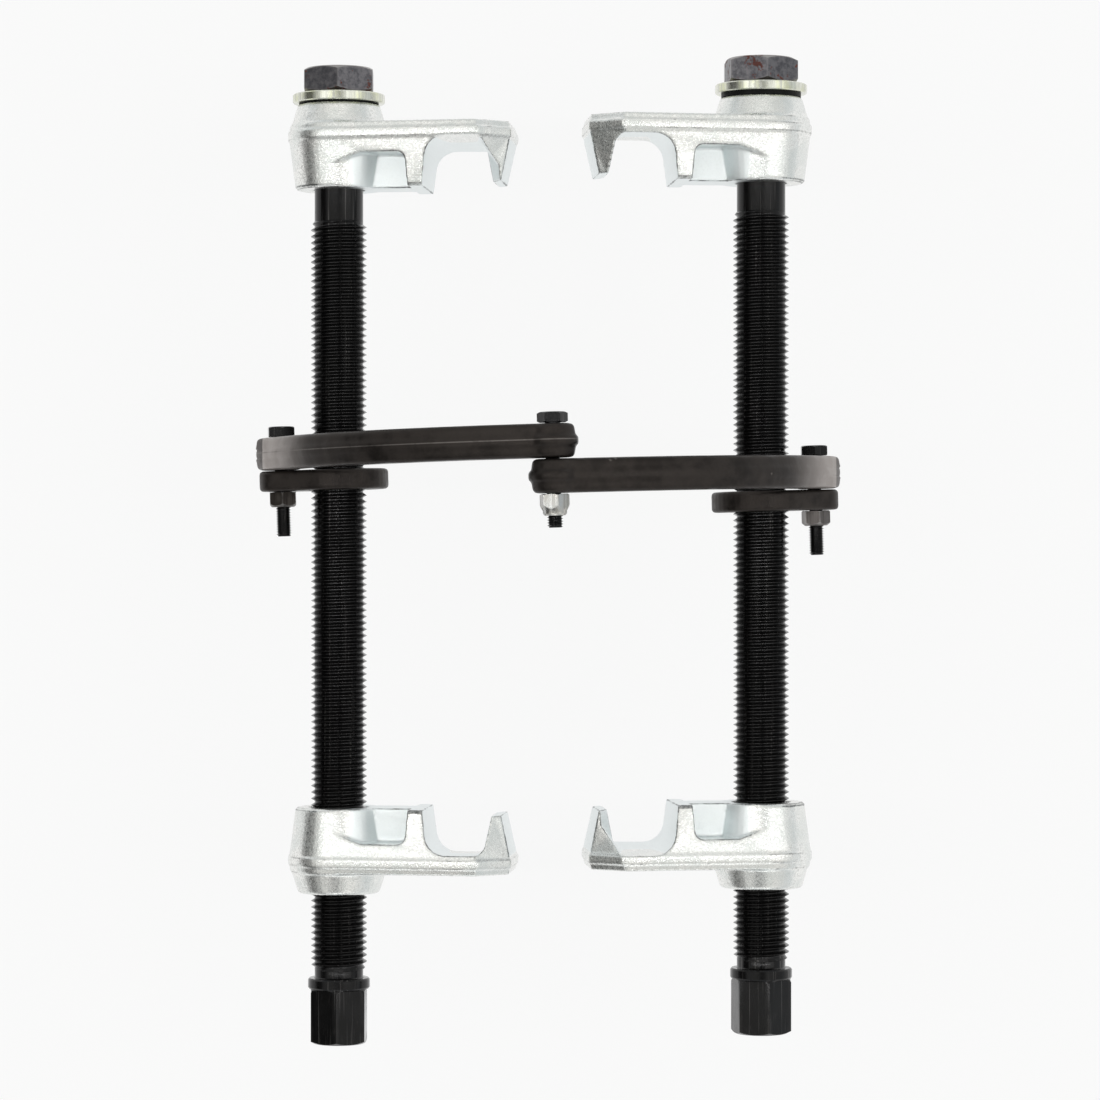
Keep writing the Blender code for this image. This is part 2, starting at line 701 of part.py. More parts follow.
def arm_height(way):
    """How far an arm's middle lies from the arch's own middle, along the pivot bolt."""
    return -way * (ARM_THICKNESS + SEAT_GAP) / 2


def ring_height(way):
    return arm_height(way) - (ARM_THICKNESS + RING_THICKNESS) / 2 - SEAT_GAP


def lug_places():
    """Where the lug bolts stand in the arch's own plane: outboard of the spindles, at the end of rings
    that may be turned a little downwards."""
    tilt = math.radians(ARCH_TILT_DEG)
    places = {}
    for side, way in SIDES.items():
        turn = math.radians(RING_TURN_DEG[side])
        axis = (way * SPINDLE_SPACING / 2 + ring_height(way) * math.sin(tilt)) / math.cos(tilt)
        places[side] = (axis + way * LUG_PITCH * math.cos(turn), AXIS_HEIGHT - LUG_PITCH * math.sin(turn))
    return places


def pivot_place(left, right):
    """Where arms of equal length meet above the two lug bolts."""
    half_x, half_z = (right[0] - left[0]) / 2, (right[1] - left[1]) / 2
    half_span = math.hypot(half_x, half_z)
    rise = math.sqrt(ARM_CHORD**2 - half_span**2) / half_span
    return left[0] + half_x - half_z * rise, left[1] + half_z + half_x * rise


def make_link():
    """The whole arch, which is turned a little round Z in the rings' play on the spindles."""
    tilt = math.radians(ARCH_TILT_DEG)
    arch = bpy.data.objects.new("arch_middle", None)
    arch.location.y = ARCH_MIDDLE
    arch.rotation_euler.z = tilt
    bpy.context.collection.objects.link(arch)
    lugs = lug_places()
    pivot = pivot_place(lugs["left"], lugs["right"])
    pivot_axis = axis_empty("pivot_axis", *pivot)
    pivot_axis.parent = arch
    arm = arm_mesh()
    ring = ring_mesh()
    half_arm = ARM_THICKNESS / 2

    for side, way in SIDES.items():
        lug = lugs[side]
        swing = math.atan2(lug[1] - pivot[1], pivot[0] - lug[0])
        turn = (0 if way < 0 else math.pi, swing, 0)
        place(f"{side}_link_arm", arm, "forged_black", pivot_axis, (0, arm_height(way), 0), turn)

        lug_axis = axis_empty(f"{side}_lug_axis", *lug)
        lug_axis.parent = arch
        ring_turn = math.radians(RING_TURN_DEG[side])
        ring_swing = -ring_turn if way < 0 else math.pi + ring_turn
        ring_middle = (0, ring_height(way), 0)
        place(f"{side}_link_ring", ring, "forged_black", lug_axis, ring_middle, (0, ring_swing, 0))
        head_seat = arm_height(way) + half_arm + SEAT_GAP
        make_link_bolt(f"{side}_lug_bolt", lug_axis, head_seat, LUG_BOLT_TURN_DEG[side], "black_oxide")
        make_lug_nut(side, lug_axis, ring_height(way) - RING_THICKNESS / 2 - SEAT_GAP)

    head_seat = arm_height(-1) + half_arm + SEAT_GAP
    make_link_bolt("pivot_bolt", pivot_axis, head_seat, PIVOT_BOLT_TURN_DEG, "black_oxide")
    make_lock_nut(pivot_axis, arm_height(1) - half_arm - SEAT_GAP)


def main():
    clear_scene()
    axes, upper_faces = {}, {}
    for side, way in SIDES.items():
        axes[side] = axis_empty(f"{side}_spindle_axis", way * SPINDLE_SPACING / 2, AXIS_HEIGHT)
        low = (way * SPINDLE_STAGGER - STACK_LENGTH) / 2
        spindle_top = make_spindle(side, axes[side], low)
        washer_low = spindle_top + SEAT_GAP
        washer_high = make_washer(side, axes[side], washer_low)
        make_top_bolt(side, axes[side], washer_high + SEAT_GAP)
        upper_faces[side] = washer_low - UPPER_JAW_FLOAT[side]
    make_jaws(axes, upper_faces)
    make_link()


main()
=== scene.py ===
"""Coil spring compressor, dressed for a picture from straight above, on its solids' frame."""

import json
import math

import bmesh
import bpy
import numpy as np
from mathutils import Matrix, Vector, kdtree, noise


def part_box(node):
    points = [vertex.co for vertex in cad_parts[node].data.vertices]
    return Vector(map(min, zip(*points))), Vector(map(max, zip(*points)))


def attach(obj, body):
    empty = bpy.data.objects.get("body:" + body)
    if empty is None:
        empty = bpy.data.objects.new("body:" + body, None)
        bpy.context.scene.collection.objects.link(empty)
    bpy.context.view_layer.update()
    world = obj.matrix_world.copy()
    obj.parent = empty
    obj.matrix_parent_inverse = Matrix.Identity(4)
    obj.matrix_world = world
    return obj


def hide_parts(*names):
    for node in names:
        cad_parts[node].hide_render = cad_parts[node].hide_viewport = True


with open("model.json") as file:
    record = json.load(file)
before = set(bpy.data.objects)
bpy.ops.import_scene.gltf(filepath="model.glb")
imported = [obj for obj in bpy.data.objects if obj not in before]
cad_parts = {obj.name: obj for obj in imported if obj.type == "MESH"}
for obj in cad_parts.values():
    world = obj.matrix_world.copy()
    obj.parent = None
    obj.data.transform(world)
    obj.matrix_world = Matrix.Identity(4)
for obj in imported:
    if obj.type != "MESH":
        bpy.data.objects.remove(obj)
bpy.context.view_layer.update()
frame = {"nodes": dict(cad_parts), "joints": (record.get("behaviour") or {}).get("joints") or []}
nodes = frame["nodes"]

MM = 0.001


# Camera, floor and light
# The tool is seen from 1.5 m straight above, through a long lens, over a white floor that is far
# enough below to take only a faint shadow. Soft light comes from all round. The metal mirrors a
# white room, with dark gaps straight above, low on the left and half way up on the near side.

SPINDLE_HEIGHT = 19.9 * MM
CAMERA_DISTANCE = 1500 * MM
CAMERA_Y = 0.3 * MM
SENSOR = 36.0
PHOTO_WIDTH = 1100
FOCAL_PIXELS = 3828
FLOOR_DEPTH = 150 * MM
FLOOR_HALF_WIDTH = 3
FLOOR_PAPER = (0.90, 0.91, 0.91, 1)
WHITE = (1, 1, 1, 1)
SHADOW_SHARE = 0.2
ROOM_STRENGTH = 0.82
ROOM_TONES = [
    (0.0, (0.84, 0.89, 0.92)),
    (0.20, (0.88, 0.91, 0.92)),
    (0.55, (0.93, 0.93, 0.91)),
    (0.93, (0.88, 0.875, 0.845)),
    (0.980, (0.55, 0.55, 0.54)),
    (0.998, (0.12, 0.12, 0.125)),
]
LEFT_GAP_TONE = (0.09, 0.09, 0.087)
NEAR_GAP_TONE = (0.15, 0.15, 0.155)
NEAR_GAP_MIDDLE = (-0.12, -0.71, 0.694)
SOFT_BOXES = [
    ("left_box", (-0.7, 0.2, 1.6), (0.6, 1.4), 2.2),
    ("right_box", (1.1, 0.1, 1.4), (0.8, 1.4), 2.4),
    ("far_box", (0.0, 0.95, 1.35), (1.6, 0.35), 1.1),
    ("near_box", (0.0, -1.5, 0.8), (1.6, 0.5), 2.4),
    ("left_strip", (-0.75, 0, 1.65), (0.03, 1.5), 1.0),
    ("middle_strip", (0.06, 0, 1.65), (0.03, 1.5), 1.0),
    ("right_strip", (0.62, 0, 1.65), (0.03, 1.5), 1.0),
]

scene = bpy.context.scene
scene.view_settings.view_transform = "Standard"
scene.view_settings.look = "None"

camera_data = bpy.data.cameras.new("photo_camera")
camera_data.sensor_width = SENSOR
camera_data.lens = FOCAL_PIXELS / PHOTO_WIDTH * SENSOR
camera = bpy.data.objects.new("photo_camera", camera_data)
camera.location = (0, CAMERA_Y, SPINDLE_HEIGHT + CAMERA_DISTANCE)
scene.collection.objects.link(camera)
scene.camera = camera


def put(tree, kind, settings=None, inputs=None):
    """A new node with its settings made and its inputs set or linked."""
    made = tree.nodes.new(kind)
    for key, value in (settings or {}).items():
        setattr(made, key, value)
    for key, value in (inputs or {}).items():
        if isinstance(value, bpy.types.NodeSocket):
            tree.links.new(value, made.inputs[key])
        else:
            made.inputs[key].default_value = value
    return made


def maths(tree, operation, first, second=0.0):
    return put(tree, "ShaderNodeMath", {"operation": operation}, {0: first, 1: second}).outputs[0]


def times(tree, first, second):
    return maths(tree, "MULTIPLY", first, second)


def dot(tree, first, second):
    made = put(tree, "ShaderNodeVectorMath", {"operation": "DOT_PRODUCT"}, {0: first, 1: second})
    return made.outputs["Value"]


def split(tree, vector):
    """A vector's X, Y and Z."""
    return put(tree, "ShaderNodeSeparateXYZ", None, {0: vector}).outputs


def ramp(tree, value, stops):
    """A colour ramp of (place, colour) stops."""
    made = put(tree, "ShaderNodeValToRGB", None, {"Fac": value})
    elements = made.color_ramp.elements
    while len(elements) < len(stops):
        elements.new(0.5)
    for element, (place, colour) in zip(elements, stops):
        element.position = place
        element.color = (*colour, 1.0)
    return made.outputs["Color"]


def span(tree, value, low, high, to_low=0.0, to_high=1.0):
    """A value's range stretched to another, smoothly and clamped."""
    made = put(
        tree,
        "ShaderNodeMapRange",
        {"interpolation_type": "SMOOTHSTEP"},
        {"Value": value, "From Min": low, "From Max": high, "To Min": to_low, "To Max": to_high},
    )
    return made.outputs["Result"]


def blend(tree, factor, first, second):
    """Two colours mixed. Either may be a plain colour."""
    made = put(tree, "ShaderNodeMix", {"data_type": "RGBA", "clamp_factor": True}, {0: factor})
    for index, value in ((6, first), (7, second)):
        if isinstance(value, bpy.types.NodeSocket):
            tree.links.new(value, made.inputs[index])
        else:
            made.inputs[index].default_value = (*value, 1.0)
    return made.outputs[2]


def white_where(tree, seen, white, other, output):
    """Plain white for the rays in seen, and another shader for the rest."""
    plain = put(tree, white, None, {"Color": WHITE, "Strength": 1.0})
    both = put(tree, "ShaderNodeMixShader", None, {0: seen, 1: other.outputs[0], 2: plain.outputs[0]})
    put(tree, output, None, {"Surface": both.outputs[0]})


def floor_white():
    """White to the camera but for a share of paper that takes shadow, and white in the metal."""
    material = bpy.data.materials.new("floor_white")
    material.use_nodes = True
    tree = material.node_tree
    tree.nodes.clear()
    rays = put(tree, "ShaderNodeLightPath").outputs
    mirrored = maths(tree, "MAXIMUM", rays["Is Glossy Ray"], rays["Is Transmission Ray"])
    seen = maths(tree, "MAXIMUM", times(tree, rays["Is Camera Ray"], 1.0 - SHADOW_SHARE), mirrored)
    paper = put(tree, "ShaderNodeBsdfDiffuse", None, {"Color": FLOOR_PAPER})
    white_where(tree, seen, "ShaderNodeEmission", paper, "ShaderNodeOutputMaterial")
    return material


def white_room():
    """White to the camera, and to all else a room whose ceiling and gaps are darker."""
    world = bpy.data.worlds.new("white_room")
    world.use_nodes = True
    tree = world.node_tree
    tree.nodes.clear()
    direction = put(tree, "ShaderNodeTexCoord").outputs["Generated"]
    x, y, z = split(tree, direction)
    open_room = ramp(tree, z, ROOM_TONES)
    leftness = times(tree, span(tree, x, -0.30, -0.80), span(tree, z, 0.60, 0.38))
    left_gap = times(tree, leftness, span(tree, y, 0.50, 0.25))
    dim_left = blend(tree, left_gap, open_room, LEFT_GAP_TONE)
    near_gap = span(tree, dot(tree, direction, NEAR_GAP_MIDDLE), 0.945, 0.985)
    room = blend(tree, near_gap, dim_left, NEAR_GAP_TONE)
    lit = put(tree, "ShaderNodeBackground", None, {"Color": room, "Strength": ROOM_STRENGTH})
    seen = put(tree, "ShaderNodeLightPath").outputs["Is Camera Ray"]
    white_where(tree, seen, "ShaderNodeBackground", lit, "ShaderNodeOutputWorld")
    return world


floor_mesh = bpy.data.meshes.new("floor")
quarters = ((-1, -1), (1, -1), (1, 1), (-1, 1))
corners = [(x * FLOOR_HALF_WIDTH, y * FLOOR_HALF_WIDTH, 0) for x, y in quarters]
floor_mesh.from_pydata(corners, [], [(0, 1, 2, 3)])
floor_mesh.materials.append(floor_white())
floor = bpy.data.objects.new("floor", floor_mesh)
floor.location.z = -FLOOR_DEPTH
scene.collection.objects.link(floor)
scene.world = white_room()

for name, place, size, watts in SOFT_BOXES:
    data = bpy.data.lights.new(name, "AREA")
    data.shape = "RECTANGLE"
    data.size, data.size_y = size
    data.energy = watts
    lamp = bpy.data.objects.new(name, data)
    lamp.location = place
    lamp.rotation_euler = (-Vector(place)).to_track_quat("-Z", "Y").to_euler()
    scene.collection.objects.link(lamp)


# Spindles
# Each is one turned bar in black oxide: a hexagon to drive it, a collar, a rolled thread of 22 mm
# by 2.5 mm, and a plain neck at the top that runs in the upper jaw.

SPINDLE_X = 82.7 * MM
NECK_RADIUS = 9.5 * MM
NECK_LENGTH = 45.8 * MM
CORE_RADIUS = 9.3 * MM
DRIVE_FLATS = 21.0 * MM
DRIVE_LENGTH = 21.5 * MM
DRIVE_CORNER = 11.6 * MM
DRIVE_TURN_DEG = {"left": -2.0, "right": 13.0}
HEX_CHAMFER = math.tan(math.radians(28))
COLLAR_RADIUS = 12.1 * MM
COLLAR_HEIGHT = 4.2 * MM
RELIEF_LENGTH = 3.0 * MM
SCREW_HOLE_RADIUS = 5.2 * MM
SCREW_HOLE_DEPTH = 24.4 * MM
THREAD_LENGTH = 293 * MM
CREST_SHARE = 0.995
SPINDLE_THREAD = {
    "pitch": 2.5 * MM,
    "crest": 11.0 * MM * CREST_SHARE,
    "root": 9.47 * MM,
    "run_out": 3.2 * MM,
    "steps": 40,
}
RUN_OUT_START = 0.25
RUN_OUT_BURIED = 0.98
THREAD_PROFILE = [
    (0.00, 0.88),
    (0.03, 1.00),
    (0.09, 1.00),
    (0.12, 0.88),
    (0.42, 0.10),
    (0.52, 0.0),
    (0.64, 0.0),
    (0.74, 0.10),
]
OXIDE = (0.006, 0.0058, 0.0060)
OXIDE_RUBBED = (0.036, 0.034, 0.033)
OXIDE_HIGHLIGHT_STREAK = (0.10, 0.096, 0.093)
OXIDE_EDGE = (0.16, 0.15, 0.145)


def new_group(name, inputs, outputs):
    """A shader node group with its sockets, and its two ends."""
    group = bpy.data.node_groups.new(name, "ShaderNodeTree")
    for label, kind, default in inputs:
        socket = group.interface.new_socket(label, in_out="INPUT", socket_type=kind)
        if default is not None:
            socket.default_value = default
    for label in outputs:
        group.interface.new_socket(label, in_out="OUTPUT", socket_type="NodeSocketFloat")
    return group, group.nodes.new("NodeGroupInput").outputs, group.nodes.new("NodeGroupOutput").inputs


def grit(tree, place, scale, detail=2.0, roughness=0.5):
    """Noise over a place in metres."""
    inputs = {"Vector": place, "Scale": scale, "Detail": detail, "Roughness": roughness}
    return put(tree, "ShaderNodeTexNoise", None, inputs).outputs[0]


def edge_and_fold_masks_group():
    """Where edges stand out and where corners fold in, the edges broken up by noise."""
    group, given, out = new_group(
        "edge_and_fold_masks",
        [
            ("Vector", "NodeSocketVector", None),
            ("Low", "NodeSocketFloat", 0.52),
            ("High", "NodeSocketFloat", 0.60),
        ],
        ["Edge", "Fold"],
    )
    point = put(group, "ShaderNodeNewGeometry").outputs["Pointiness"]
    uneven = times(group, maths(group, "SUBTRACT", grit(group, given["Vector"], 260.0, 5.0), 0.5), 0.05)
    moved = maths(group, "ADD", point, uneven)
    inputs = {"Value": moved, "From Min": given["Low"], "From Max": given["High"]}
    group.links.new(put(group, "ShaderNodeMapRange", None, inputs).outputs[0], out["Edge"])
    group.links.new(span(group, point, 0.485, 0.42), out["Fold"])
    return group


def use(tree, group, inputs):
    return put(tree, "ShaderNodeGroup", {"node_tree": group}, inputs).outputs


def start_material(name):
    """A material with its Principled shader and the place on the tool in metres."""
    material = bpy.data.materials.new(name)
    material.use_nodes = True
    tree = material.node_tree
    return material, tree, tree.nodes["Principled BSDF"], put(tree, "ShaderNodeTexCoord").outputs["Object"]


def feed(tree, shader, **inputs):
    """Sets or links a shader's inputs, given by name with underscores for spaces."""
    for key, value in inputs.items():
        socket = shader.inputs[key.replace("_", " ")]
        if isinstance(value, bpy.types.NodeSocket):
            tree.links.new(value, socket)
        else:
            socket.default_value = value


def bump(tree, height, strength, distance):
    made = put(tree, "ShaderNodeBump", None, {"Height": height, "Strength": strength, "Distance": distance})
    return made.outputs["Normal"]


def drawn_out(tree, place, share):
    """A place squeezed along the spindle, so that noise on it makes long lines."""
    return put(tree, "ShaderNodeMapping", None, {"Vector": place, "Scale": (1.0, share, 1.0)}).outputs[0]


def black_oxide():
    """Blackened steel with an oily gloss, light rubs, and a few long pale lines along it that are painted
    highlight.
    """
    material, tree, shader, place = start_material("black_oxide")
    edges = use(tree, EDGE_AND_FOLD_MASKS, {"Vector": place, "Low": 0.56, "High": 0.70})
    rubs = grit(tree, drawn_out(tree, place, 0.12), 1500.0, 4.0)
    highlight_streaks = grit(tree, drawn_out(tree, place, 0.02), 1100.0)
    body = blend(tree, times(tree, span(tree, rubs, 0.60, 0.72), 0.35), OXIDE, OXIDE_RUBBED)
    # Painted highlight: long pale lines along the axis stand in for the reflections of strip lamps.
    highlight_streaked = blend(tree, span(tree, highlight_streaks, 0.60, 0.72, 0.0, 0.6), body, OXIDE_HIGHLIGHT_STREAK)
    colour = blend(tree, times(tree, edges["Edge"], 0.5), highlight_streaked, OXIDE_EDGE)
    rough = span(tree, grit(tree, place, 120.0, 3.0), 0.3, 0.7, 0.13, 0.26)
    normal = bump(tree, rubs, 0.12, 0.1 * MM)
    feed(tree, shader, Base_Color=colour, Roughness=rough, Metallic=0.55, Normal=normal)
    return material


def stand_for(name, mesh, material, body, node):
    """A detailed piece in a CAD node's place."""
    mesh.materials.clear()
    mesh.materials.append(material)
    piece = bpy.data.objects.new(name, mesh)
    scene.collection.objects.link(piece)
    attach(piece, body)
    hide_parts(node)


def hexagon_reach(flats, angle):
    return flats / 2 / math.cos(angle % (math.pi / 3) - math.pi / 6)


def spun(shape, rings, steps, turn_deg=0.0, closed=True):
    """Rings of (reach, height) about Y, each a number or a function of the angle."""
    turn = math.radians(turn_deg)
    loops = []
    for reach, height in rings:
        loop = []
        for step in range(steps):
            angle = 2 * math.pi * step / steps
            out = reach(angle) if callable(reach) else reach
            high = height(angle) if callable(height) else height
            loop.append(shape.verts.new((out * math.sin(angle + turn), high, out * math.cos(angle + turn))))
        loops.append(loop)
    for first, second in zip(loops, loops[1:]):
        for step in range(steps):
            after = (step + 1) % steps
            shape.faces.new((first[step], first[after], second[after], second[step]))
    if closed:
        shape.faces.new(loops[0])
        shape.faces.new(loops[-1])


def add_thread(shape, thread, low, high, neck):
    """A right-hand thread's skin between two heights about Y, running out into a neck at both ends."""
    points, steps, pitch = len(THREAD_PROFILE), thread["steps"], thread["pitch"]
    rows = points * (math.ceil((high - low) / pitch) + 2)
    columns = []
    for step in range(steps):
        angle = 2 * math.pi * step / steps
        column = []
        for row in range(rows):
            share, lift = THREAD_PROFILE[row % points]
            height = low + (row // points - 1 + share + step / steps) * pitch
            end = min(height - low, high - height) / thread["run_out"]
            full = thread["root"] + (thread["crest"] - thread["root"]) * lift
            reach = neck * RUN_OUT_BURIED
            if end > 0:
                reach = neck + (full - neck) * max(0.0, min(1.0, end + RUN_OUT_START))
            height = max(low, min(high, height))
            column.append(shape.verts.new((reach * math.sin(angle), height, reach * math.cos(angle))))
        columns.append(column)
    for step in range(steps):
        here, there = columns[step], columns[(step + 1) % steps]
        lift = points if step == steps - 1 else 0
        for row in range(rows - 1 - lift):
            shape.faces.new((here[row], there[row + lift], there[row + 1 + lift], here[row + 1]))


def finish_spun(shape, name, stand, sharp_deg):
    """A spun shape put in its place, smooth but for edges over an angle."""
    bmesh.ops.remove_doubles(shape, verts=shape.verts, dist=1e-6)
    bmesh.ops.recalc_face_normals(shape, faces=shape.faces)
    bmesh.ops.transform(shape, matrix=stand, verts=shape.verts)
    mesh = bpy.data.meshes.new(name)
    shape.to_mesh(mesh)
    shape.free()
    mesh.shade_smooth()
    mesh.set_sharp_from_angle(angle=math.radians(sharp_deg))
    return mesh


def on_spindle(side):
    return Matrix.Translation((SPINDLE_X if side == "right" else -SPINDLE_X, 0, SPINDLE_HEIGHT))


def spindle_mesh(side):
    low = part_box(f"{side}_spindle")[0][1]
    drive_top = low + DRIVE_LENGTH
    collar_top = drive_top + COLLAR_HEIGHT
    thread_low = collar_top + RELIEF_LENGTH
    thread_high = thread_low + THREAD_LENGTH
    top = thread_high + NECK_LENGTH
    rim = 0.96 * DRIVE_FLATS / 2

    def hexagon(angle):
        return hexagon_reach(DRIVE_FLATS, angle)

    def chamfered(angle):
        return low + (hexagon(angle) - rim) * HEX_CHAMFER

    def rounded(angle):
        return min(hexagon(angle), DRIVE_CORNER)

    rings = [
        (rim - 0.5 * MM, low),
        (rim, low),
        (hexagon, chamfered),
        (hexagon, drive_top - 1.4 * MM),
        (rounded, drive_top - 0.5 * MM),
        (COLLAR_RADIUS - 0.4 * MM, drive_top),
        (COLLAR_RADIUS, drive_top + 0.6 * MM),
        (COLLAR_RADIUS, collar_top - 0.7 * MM),
        (COLLAR_RADIUS - 0.5 * MM, collar_top - 0.1 * MM),
        (NECK_RADIUS + 0.4 * MM, collar_top),
        (NECK_RADIUS, collar_top + 0.4 * MM),
        (NECK_RADIUS, thread_low + 0.3 * MM),
        (CORE_RADIUS, thread_low + 0.8 * MM),
        (CORE_RADIUS, thread_high - 0.8 * MM),
        (NECK_RADIUS, thread_high - 0.3 * MM),
        (NECK_RADIUS, top - 0.6 * MM),
        (NECK_RADIUS - 0.6 * MM, top),
        (SCREW_HOLE_RADIUS, top),
        (SCREW_HOLE_RADIUS, top - SCREW_HOLE_DEPTH),
    ]
    shape = bmesh.new()
    spun(shape, rings, steps=72, turn_deg=DRIVE_TURN_DEG[side])
    add_thread(shape, SPINDLE_THREAD, thread_low, thread_high, NECK_RADIUS)
    return finish_spun(shape, f"{side}_threaded_spindle", on_spindle(side), sharp_deg=24)


EDGE_AND_FOLD_MASKS = edge_and_fold_masks_group()
BLACK_OXIDE = black_oxide()
for side in ("left", "right"):
    name = f"{side}_threaded_spindle"
    stand_for(name, spindle_mesh(side), BLACK_OXIDE, f"{side}_screw", f"{side}_spindle")


# Jaws
# Four drop forgings in bright zinc, with coarse grain, a trimmed land all round and a saddle that
# takes one coil of the spring.

JAW_TILT = math.radians(5.04)
BOSS_RADIUS = 19.4 * MM
LAND_FOOT = 14.4 * MM
HOLLOW_TOP = 15.4 * MM
POCKET_TOP = 19.9 * MM
LEG_REACH = 31 * MM
SIDE_DRAFT = 0.19
WEB_HALF = 8.5 * MM
WEB_REACH = 6 * MM
WEB_LEAD = 1.5 * MM
POCKET_INSET = 0.6 * MM
POCKET_FADE = 1.2 * MM
POCKET_RUN = 7 * MM
RIM_WIDTH = 0.9 * MM
RIM_STEP = 0.3 * MM
RIM_ANGLE_DEG = 26
LAND_LINE_SHARE = 0.55
JAWS = [(side, level) for side in ("left", "right") for level in ("upper", "lower")]
JAW_GREY = (0.75, 0.77, 0.75)
JAW_BRIGHT = (0.88, 0.88, 0.855)
JAW_BOUNCE_TINT = (0.86, 0.905, 0.91)
JAW_PIT = (0.30, 0.30, 0.29)
JAW_FOLD_SHADE = (0.15, 0.18, 0.19)
JAW_LINE = (0.105, 0.112, 0.112)
SKIN_WAVES = ((260, 0.6), (800, 0.4))


def forged_grain_group():
    """Forged skin: pits and pimples of under a millimetre with finer grit on them."""
    group, given, out = new_group(
        "forged_grain",
        [("Vector", "NodeSocketVector", None), ("Size", "NodeSocketFloat", 1.0)],
        ["Height", "Speckle", "Pits", "Broad"],
    )
    inputs = {0: given["Vector"], "Scale": given["Size"]}
    spot = put(group, "ShaderNodeVectorMath", {"operation": "SCALE"}, inputs).outputs[0]
    coarse = grit(group, spot, 1300.0, 3.0, 0.6)
    broad = grit(group, spot, 90.0, 4.0, 0.65)
    fine = put(group, "ShaderNodeTexVoronoi", {"feature": "SMOOTH_F1"}, {"Vector": spot, "Scale": 2600.0})
    height = maths(group, "ADD", coarse, times(group, fine.outputs["Distance"], 0.55))
    pits = times(group, span(group, coarse, 0.50, 0.64), span(group, broad, 0.40, 0.62, 0.25, 1.0))
    group.links.new(height, out["Height"])
    group.links.new(pits, out["Pits"])
    group.links.new(span(group, coarse, 0.38, 0.62), out["Speckle"])
    group.links.new(span(group, broad, 0.35, 0.65), out["Broad"])
    return group


def jaw_zinc():
    """Bright zinc over forged grain: grey pits, dark broken edges, painted shade where corners fold in, and
    smoother hollows with a pale white-cyan tint of painted bounced light.
    """
    material, tree, shader, place = start_material("jaw_zinc")
    grain = use(tree, FORGED_GRAIN, {"Vector": place, "Size": 1.0})
    edges = use(tree, EDGE_AND_FOLD_MASKS, {"Vector": place, "Low": 0.53, "High": 0.57})
    hollow = put(tree, "ShaderNodeAttribute", {"attribute_name": "hollow"}).outputs["Fac"]
    rim = put(tree, "ShaderNodeAttribute", {"attribute_name": "rim"}).outputs["Fac"]
    body = blend(tree, grain["Broad"], JAW_GREY, JAW_BRIGHT)
    # Painted bounced light: pockets and saddle walls take a pale white-cyan tint.
    bounce_tinted = blend(tree, times(tree, hollow, 0.9), body, JAW_BOUNCE_TINT)
    open_skin = span(tree, hollow, 0, 1, 1.0, 0.15)
    pitted = blend(tree, times(tree, grain["Pits"], times(tree, open_skin, 0.36)), bounce_tinted, JAW_PIT)
    # Painted shade: concave corners, where pointiness is low, are darkened towards a blue-grey.
    fold_shaded = blend(tree, times(tree, edges["Fold"], 0.60), pitted, JAW_FOLD_SHADE)
    wander = times(tree, maths(tree, "SUBTRACT", grain["Broad"], 0.5), 0.35)
    line = span(tree, maths(tree, "ADD", rim, wander), 0.35, 0.75)
    broken = times(tree, line, span(tree, grain["Speckle"], 0, 1, 0.55, 0.95))
    colour = blend(tree, broken, fold_shaded, JAW_LINE)
    skin_rough = span(tree, grain["Speckle"], 0, 1, 0.24, 0.36)
    rough = maths(tree, "MAXIMUM", skin_rough, times(tree, hollow, 0.44))
    normal = bump(tree, times(tree, grain["Height"], open_skin), 0.33, 0.18 * MM)
    feed(tree, shader, Base_Color=colour, Roughness=rough, Metallic=0.95, Normal=normal)
    return material


def forged_copy(node, voxel, grain, seed, smoothing):
    """A CAD node's mesh with its edges rounded as forging rounds them, and its skin a little uneven."""
    source = nodes[node]
    draft = bpy.data.objects.new(f"{node}_draft", source.data.copy())
    draft.matrix_world = source.matrix_world.copy()
    scene.collection.objects.link(draft)
    remesh = draft.modifiers.new("remesh", "REMESH")
    remesh.mode = "VOXEL"
    remesh.voxel_size = voxel
    remesh.use_smooth_shade = True
    soften = draft.modifiers.new("soften", "SMOOTH")
    soften.factor = 0.5
    soften.iterations = smoothing
    graph = bpy.context.evaluated_depsgraph_get()
    mesh = bpy.data.meshes.new_from_object(draft.evaluated_get(graph))
    bpy.data.objects.remove(draft, do_unlink=True)
    shift = Vector((seed, 2.3 * seed, 0.7 * seed))

    def lift(spot):
        return sum(noise.noise(Vector(spot) * waves + shift) * share for waves, share in SKIN_WAVES)

    spots = np.empty(len(mesh.vertices) * 3)
    normals = np.empty(len(mesh.vertices) * 3)
    mesh.vertices.foreach_get("co", spots)
    mesh.vertex_normals.foreach_get("vector", normals)
    spots, normals = spots.reshape(-1, 3), normals.reshape(-1, 3)
    spots += normals * (np.array([lift(spot) for spot in spots]) * grain)[:, None]
    mesh.vertices.foreach_set("co", spots.ravel())
    mesh.shade_smooth()
    mesh.update()
    return mesh


def sharp_edge_points(node):
    """Points along the outward edges of a CAD node, one step apart."""
    shape = bmesh.new()
    shape.from_mesh(nodes[node].data)
    bmesh.ops.remove_doubles(shape, verts=shape.verts, dist=2e-6)
    points = []
    for edge in shape.edges:
        if len(edge.link_faces) == 2 and edge.calc_face_angle_signed(0.0) > math.radians(RIM_ANGLE_DEG):
            start, end = (vertex.co for vertex in edge.verts)
            steps = max(1, math.ceil((end - start).length / RIM_STEP))
            points += [start.lerp(end, step / steps) for step in range(steps + 1)]
    shape.free()
    return points


